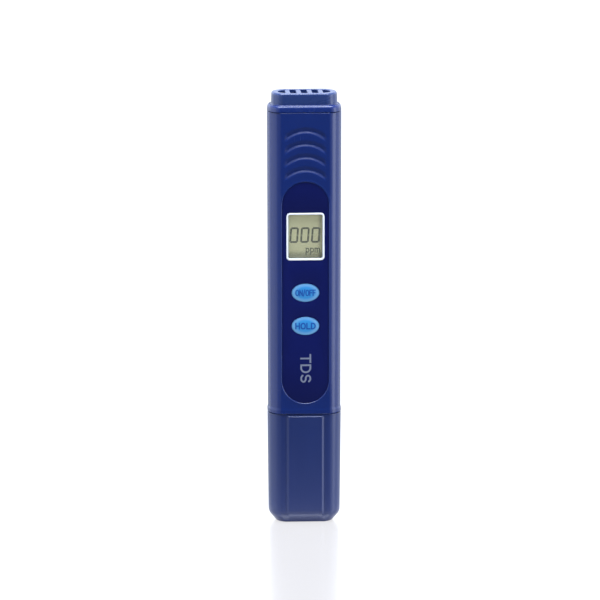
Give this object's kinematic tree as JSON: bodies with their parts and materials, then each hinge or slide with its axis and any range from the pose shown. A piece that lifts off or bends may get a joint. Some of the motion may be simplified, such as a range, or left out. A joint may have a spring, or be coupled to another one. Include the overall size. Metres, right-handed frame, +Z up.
{
  "type": "digital water tester",
  "caption": "Pen-shaped meter for dissolved solids in water: display and push buttons on a slim housing, probe pins under a pull-off cap, battery bay under a slotted cap.",
  "frame": {"origin": "centre of the base, the flat end of the probe cap that the tester stands on", "axes": "+Z up the pen towards the battery cap, -Y out of the display face, +X to the right as the display is read"},
  "size_m": [0.025, 0.0156, 0.1485],
  "materials": {
    "housing": "satin moulded ABS, dark blue",
    "face_label": "printed film, navy",
    "rear_label": "plain silvered film, no print",
    "bezel": "white moulding",
    "lens": "clear acrylic window",
    "display": "reflective liquid crystal panel, grey-green",
    "button": "soft moulding, sky blue",
    "inner_plastic": "black moulding",
    "circuit_board": "glass-epoxy board with green solder mask",
    "seal": "silicone rubber",
    "steel": "bright plated steel",
    "titanium": "titanium alloy, satin"
  },
  "bodies": {
    "housing": {"front_shell": "housing", "rear_shell": "housing", "face_label": "face_label", "rear_label": "rear_label", "display_bezel": "bezel", "display_lens": "lens", "display_glass": "display", "display_frame": "inner_plastic", "display_connector": "seal", "power_switch": "inner_plastic", "hold_switch": "inner_plastic", "circuit_board": "circuit_board", "chip_drop": "inner_plastic", "quartz_crystal": "steel", "filter_capacitor": "inner_plastic", "trimmer_body": "inner_plastic", "board_screw_upper": "steel", "board_screw_lower": "steel", "battery_holder": "inner_plastic", "battery_cell_left": "steel", "battery_cell_right": "steel", "contact_positive": "steel", "contact_negative": "steel", "probe_housing": "inner_plastic", "probe_gasket": "seal", "probe_pin_left": "titanium", "probe_pin_right": "titanium", "temperature_sensor": "steel", "probe_lead_left": "seal", "probe_lead_right": "seal", "sensor_lead": "seal"},
    "power_button": {"power_button": "button"},
    "hold_button": {"hold_button": "button"},
    "trimmer_screw": {"trimmer_screw": "steel"},
    "battery_cap": {"battery_cap": "housing"},
    "probe_cap": {"probe_cap": "housing"}
  },
  "joints": [
    {"name": "power_button_press", "type": "slide", "parent": "housing", "child": "power_button", "axis": [0, 1, 0], "range_m": [0, 0.0005], "stiffness_N_per_m": 1500},
    {"name": "hold_button_press", "type": "slide", "parent": "housing", "child": "hold_button", "axis": [0, 1, 0], "range_m": [0, 0.0005], "stiffness_N_per_m": 1500},
    {"name": "trimmer_turn", "type": "hinge", "parent": "housing", "child": "trimmer_screw", "pos_m": [0, 0.001, 0.07], "axis": [0, 1, 0], "range_deg": [-130, 130]},
    {"name": "battery_cap_slide", "type": "slide", "parent": "housing", "child": "battery_cap", "axis": [0, 0, 1], "range_m": [0, 0.014]},
    {"name": "probe_cap_slide", "type": "slide", "parent": "housing", "child": "probe_cap", "axis": [0, 0, -1], "range_m": [0, 0.045]}
  ]
}
